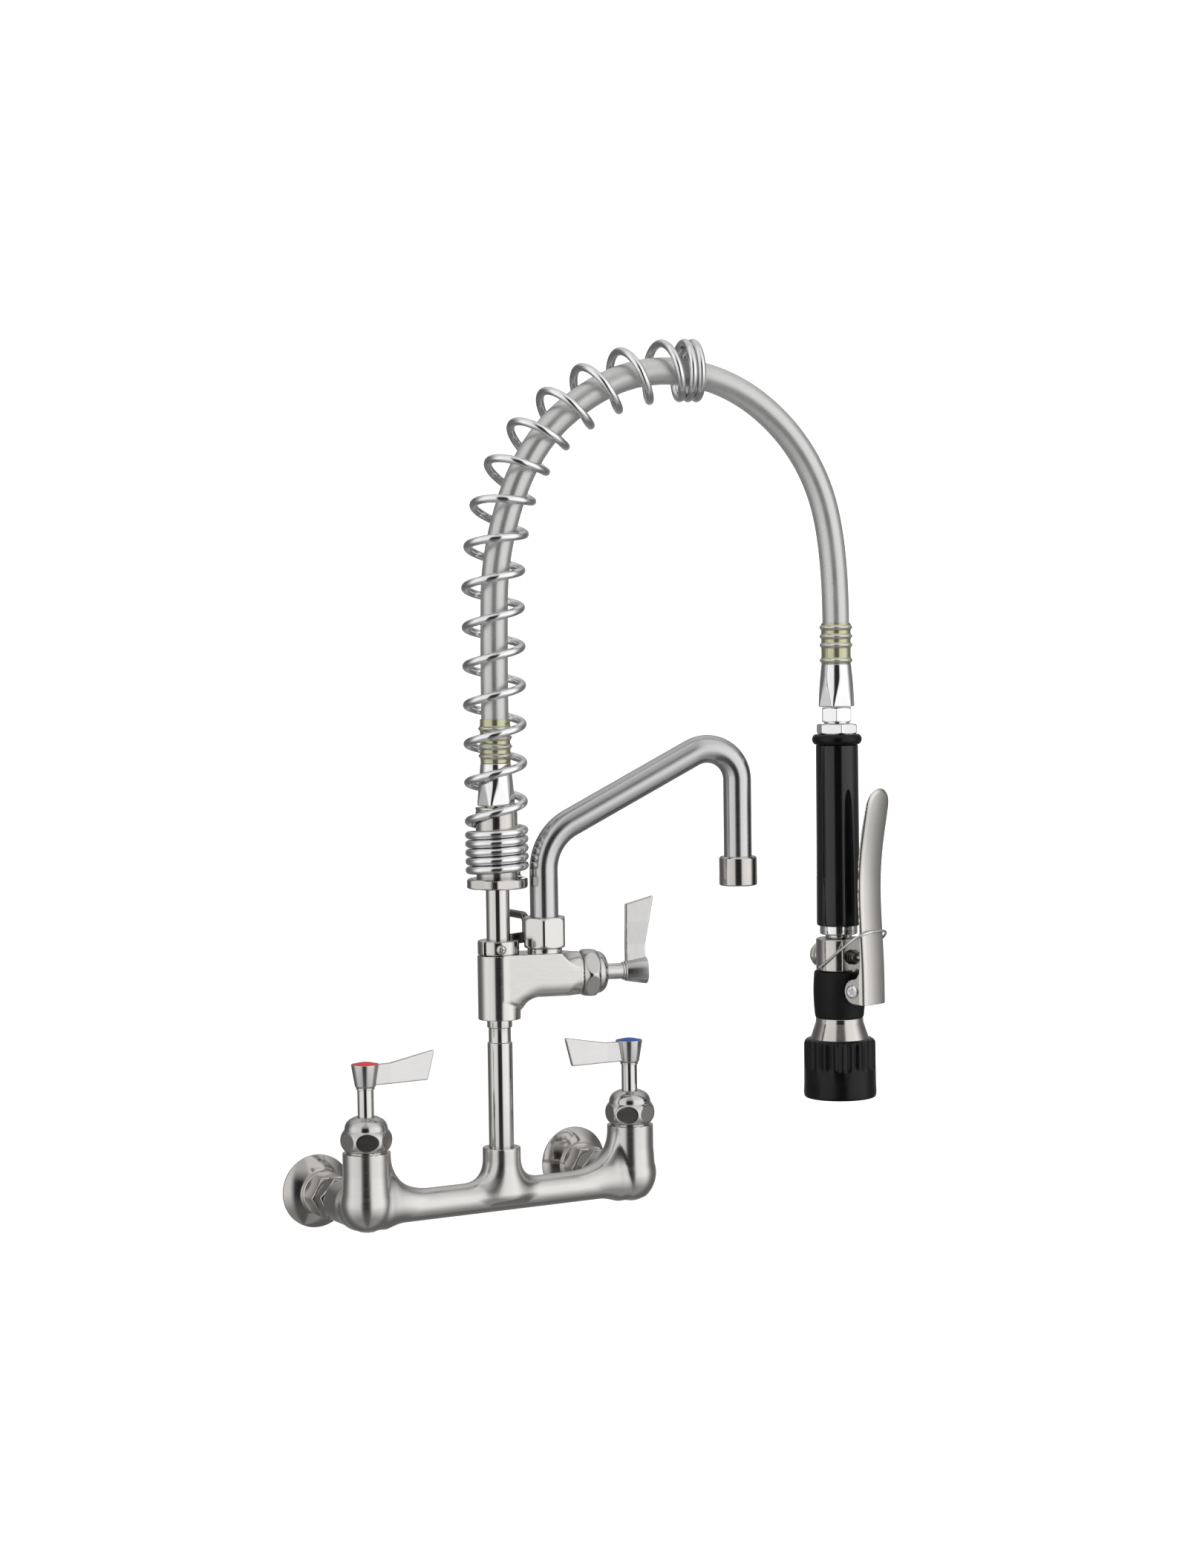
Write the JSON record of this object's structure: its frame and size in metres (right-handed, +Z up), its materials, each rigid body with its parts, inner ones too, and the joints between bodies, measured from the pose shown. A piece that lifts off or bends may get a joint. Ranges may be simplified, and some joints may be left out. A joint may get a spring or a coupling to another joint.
{
  "type": "wall-mounted pre-rinse faucet with pot filler",
  "caption": "Wall-mounted two-handle kitchen mixer whose riser carries a swivelling pot-filler spout and a spring arch with a squeeze-lever spray valve on a hose.",
  "frame": {"origin": "on the wall's face, midway between the two inlets, at the height of their axes", "axes": "+X towards the cold side, +Y into the wall, +Z up"},
  "size_m": [0.3893, 0.2141, 0.6113],
  "materials": {
    "satin_steel": "satin, slightly warm stainless",
    "brushed_lever": "brushed along its length",
    "chrome": "polished",
    "hot_red": "glossy",
    "cold_blue": "glossy",
    "ferrule_brass": "dull, pale olive",
    "hose_grey": "clear sheath over a fine grey braid",
    "grip_black": "glossy black",
    "rubber_black": "matt black",
    "dark_steel": "dark",
    "cartridge_plastic": "moulded, matt"
  },
  "bodies": {
    "base": {"mixer_body": "satin_steel", "inlet_shanks": "satin_steel", "union_nuts": "satin_steel", "union_washers": "rubber_black", "tailpieces": "satin_steel", "wall_flanges": "satin_steel", "bonnet_hot": "satin_steel", "bonnet_cold": "satin_steel", "bonnet_filler": "satin_steel", "cartridge_hot": "cartridge_plastic", "cartridge_cold": "cartridge_plastic", "cartridge_filler": "cartridge_plastic", "lower_riser": "satin_steel", "pot_filler_body": "satin_steel", "spout_nut": "satin_steel", "spout_seals": "rubber_black", "upper_riser": "satin_steel", "clamp_collar": "satin_steel", "clamp_screw": "satin_steel", "spray_hook": "satin_steel"},
    "hot_handle": {"stem_hot": "satin_steel", "lever_hot": "satin_steel", "lever_screw_hot": "satin_steel", "index_button_hot": "hot_red"},
    "cold_handle": {"stem_cold": "satin_steel", "lever_cold": "satin_steel", "lever_screw_cold": "satin_steel", "index_button_cold": "cold_blue"},
    "filler_handle": {"stem_filler": "satin_steel", "lever_filler": "satin_steel", "lever_screw_filler": "satin_steel", "index_button_filler": "cold_blue"},
    "spout": {"spout_tube": "satin_steel", "spout_outlet": "satin_steel", "flow_straightener": "cartridge_plastic"},
    "arch": {"spring_nut": "satin_steel", "hose_adaptor": "chrome", "overhead_spring": "chrome", "hose": "hose_grey", "lower_ferrule": "ferrule_brass", "upper_ferrule": "ferrule_brass", "lower_hose_nut": "chrome", "upper_hose_nut": "chrome", "spray_inlet": "chrome"},
    "spray": {"grip_nut": "chrome", "rubber_ring": "rubber_black", "grip_tube": "chrome", "grip_sleeve": "grip_black", "valve_body": "chrome", "side_cap": "chrome", "packing_nut": "dark_steel", "boot": "rubber_black", "spray_cone": "chrome", "bumper": "rubber_black", "spray_face": "cartridge_plastic", "pivot_screw": "chrome", "return_spring": "dark_steel"},
    "squeeze_lever": {"squeeze_lever": "brushed_lever"},
    "plunger": {"plunger": "dark_steel"},
    "bail": {"wire_bail": "chrome"}
  },
  "joints": [
    {"name": "hot_lever", "type": "hinge", "parent": "base", "child": "hot_handle", "pos_m": [-0.1016, -0.085, 0.0835], "axis": [0, 0, -1], "range_deg": [0, 90]},
    {"name": "cold_lever", "type": "hinge", "parent": "base", "child": "cold_handle", "pos_m": [0.1016, -0.085, 0.0835], "axis": [0, 0, 1], "range_deg": [0, 90]},
    {"name": "filler_lever", "type": "hinge", "parent": "base", "child": "filler_handle", "pos_m": [0.05428, -0.09955, 0.151], "axis": [0.9659, -0.2588, 0], "range_deg": [0, 90]},
    {"name": "spout_swivel", "type": "hinge", "parent": "base", "child": "spout", "pos_m": [0.03139, -0.09341, 0.191], "axis": [0, 0, 1], "range_deg": [-90, 50]},
    {"name": "arch_swing", "type": "hinge", "parent": "base", "child": "arch", "pos_m": [0, -0.085, 0.2184], "axis": [0, 0, 1], "range_deg": [-170, 25]},
    {"name": "spray_swivel", "type": "hinge", "parent": "arch", "child": "spray", "pos_m": [0.23665, -0.14841, 0.319], "axis": [0, 0, 1], "continuous": true},
    {"name": "lever_squeeze", "type": "hinge", "parent": "spray", "child": "squeeze_lever", "pos_m": [0.24299, -0.17052, 0.1325], "axis": [-0.9613, -0.2756, 0], "range_deg": [0, 9], "stiffness_Nm_per_rad": 4, "springref_deg": -5.73},
    {"name": "plunger_slide", "type": "slide", "parent": "spray", "child": "plunger", "axis": [-0.2756, 0.9613, 0], "range_m": [0, 0.0036], "deforming": ["return_spring"]},
    {"name": "bail_tilt", "type": "hinge", "parent": "spray", "child": "bail", "pos_m": [0.23555, -0.14457, 0.1475], "axis": [0.9613, 0.2756, 0], "range_deg": [0, 34]}
  ],
  "couplings": [
    {"joint": "plunger_slide", "follows": "lever_squeeze", "m_per_rad": 0.0225}
  ]
}
